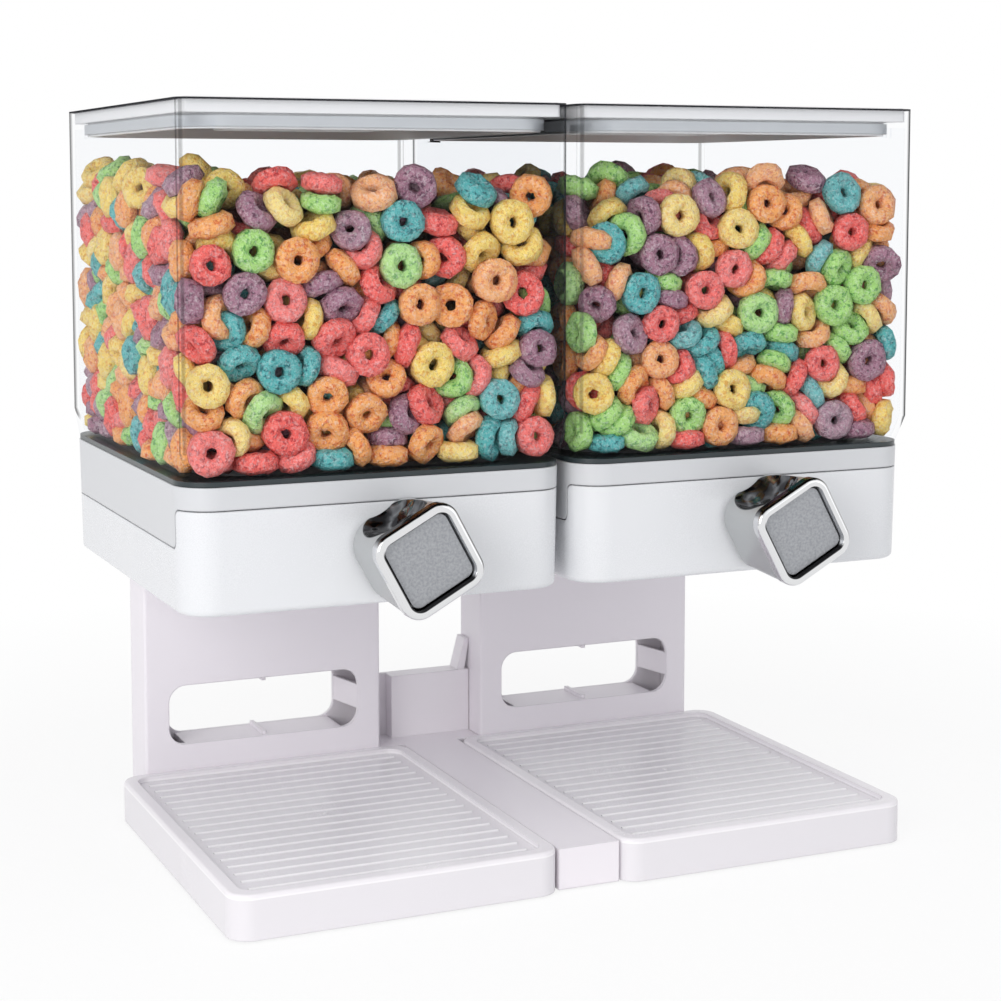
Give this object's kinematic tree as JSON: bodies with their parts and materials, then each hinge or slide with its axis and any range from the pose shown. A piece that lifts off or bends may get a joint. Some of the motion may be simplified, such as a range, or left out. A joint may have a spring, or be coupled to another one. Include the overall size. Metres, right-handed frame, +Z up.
{
  "type": "dry food dispenser",
  "caption": "Twin countertop dry food dispenser: clear hoppers with lids on dispensing heads with turning knobs, column stands with trays, and a bridge joining the stands.",
  "frame": {"origin": "middle of the footprint, on the surface that the rubber feet stand on", "axes": "+X to the right as seen from the knob side, +Y from the knobs to the columns, +Z up"},
  "size_m": [0.351, 0.236, 0.3419],
  "materials": {
    "housing_white": "fine satin",
    "collar_grey": "fine satin",
    "column_white": "fine satin",
    "tray_white": "fine satin",
    "bridge_white": "fine satin",
    "canister_clear": "clear moulded plastic",
    "gasket_dark": "smooth",
    "lid_white": "fine satin",
    "lid_seal_grey": "smooth silicone",
    "knob_satin": "satin",
    "bezel_chrome": "polished",
    "face_satin": "grained satin",
    "steel": "turned",
    "bush_acetal": "smooth",
    "hub_white": "smooth",
    "paddle_silicone": "smooth silicone",
    "foot_rubber": "matt"
  },
  "bodies": {
    "stand": {"bridge": "bridge_white", "bridge_feet": "foot_rubber", "left_tray": "tray_white", "left_tray_feet": "foot_rubber", "left_tray_screws": "steel", "left_column": "column_white", "left_column_cover": "column_white", "right_tray": "tray_white", "right_tray_feet": "foot_rubber", "right_tray_screws": "steel", "right_column": "column_white", "right_column_cover": "column_white"},
    "left_head": {"left_housing": "housing_white", "left_collar": "collar_grey", "left_hopper": "hub_white", "left_spout": "housing_white", "left_front_bush": "bush_acetal", "left_rear_bush": "bush_acetal", "left_shaft_seal": "paddle_silicone", "left_head_screws": "steel"},
    "left_wheel": {"left_shaft": "steel", "left_shaft_clip": "steel", "left_wheel_hub": "hub_white", "left_paddle": "paddle_silicone", "left_knob": "knob_satin", "left_knob_bezel": "bezel_chrome", "left_knob_face": "face_satin"},
    "left_canister": {"left_canister": "canister_clear", "left_canister_gasket": "gasket_dark"},
    "left_lid": {"left_lid": "lid_white", "left_lid_seal": "lid_seal_grey"},
    "right_head": {"right_housing": "housing_white", "right_collar": "collar_grey", "right_hopper": "hub_white", "right_spout": "housing_white", "right_front_bush": "bush_acetal", "right_rear_bush": "bush_acetal", "right_shaft_seal": "paddle_silicone", "right_head_screws": "steel"},
    "right_wheel": {"right_shaft": "steel", "right_shaft_clip": "steel", "right_wheel_hub": "hub_white", "right_paddle": "paddle_silicone", "right_knob": "knob_satin", "right_knob_bezel": "bezel_chrome", "right_knob_face": "face_satin"},
    "right_canister": {"right_canister": "canister_clear", "right_canister_gasket": "gasket_dark"},
    "right_lid": {"right_lid": "lid_white", "right_lid_seal": "lid_seal_grey"}
  },
  "joints": [
    {"name": "left_head_lift", "type": "slide", "parent": "stand", "child": "left_head", "axis": [0, 0, 1], "range_m": [0, 0.05]},
    {"name": "left_knob_turn", "type": "hinge", "parent": "left_head", "child": "left_wheel", "pos_m": [-0.082, -0.1, 0.1538], "axis": [0, 1, 0], "continuous": true},
    {"name": "left_canister_lift", "type": "slide", "parent": "left_head", "child": "left_canister", "axis": [0, 0, 1], "range_m": [0, 0.06]},
    {"name": "left_lid_lift", "type": "slide", "parent": "left_canister", "child": "left_lid", "axis": [0, 0, 1], "range_m": [0, 0.06]},
    {"name": "right_head_lift", "type": "slide", "parent": "stand", "child": "right_head", "axis": [0, 0, 1], "range_m": [0, 0.05]},
    {"name": "right_knob_turn", "type": "hinge", "parent": "right_head", "child": "right_wheel", "pos_m": [0.096, -0.1, 0.1538], "axis": [0, 1, 0], "continuous": true},
    {"name": "right_canister_lift", "type": "slide", "parent": "right_head", "child": "right_canister", "axis": [0, 0, 1], "range_m": [0, 0.06]},
    {"name": "right_lid_lift", "type": "slide", "parent": "right_canister", "child": "right_lid", "axis": [0, 0, 1], "range_m": [0, 0.06]}
  ]
}
